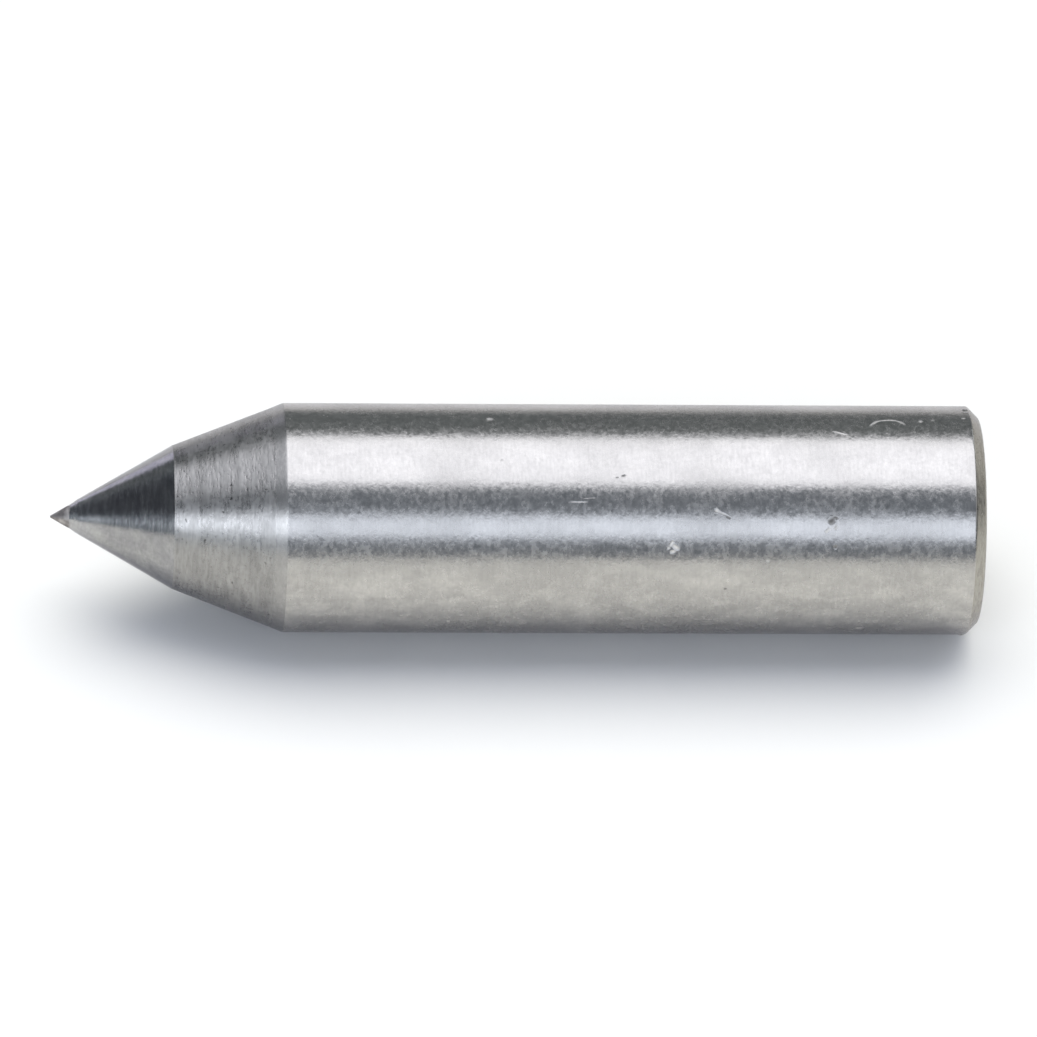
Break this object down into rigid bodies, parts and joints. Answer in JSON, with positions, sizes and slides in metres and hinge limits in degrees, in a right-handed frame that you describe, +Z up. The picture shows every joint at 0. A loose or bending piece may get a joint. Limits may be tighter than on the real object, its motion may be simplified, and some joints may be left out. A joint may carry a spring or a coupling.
{
  "type": "lathe center",
  "caption": "Straight-shank lathe center: a ground steel cylinder with a chamfered rear end, a steel relief cone and a brazed 60 degree carbide point.",
  "frame": {"origin": "on the axis, at the front end of the straight shank where the nose begins", "axes": "+X along the axis from the point towards the rear face, +Z up with the part lying on its side"},
  "size_m": [0.0516, 0.0126, 0.0126],
  "materials": {
    "ground_steel": "satin ground",
    "carbide": "fine ground, dark",
    "braze": "ground flush"
  },
  "bodies": {
    "root": {"shank_body": "ground_steel", "carbide_tip": "carbide", "braze_film": "braze"}
  },
  "joints": []
}
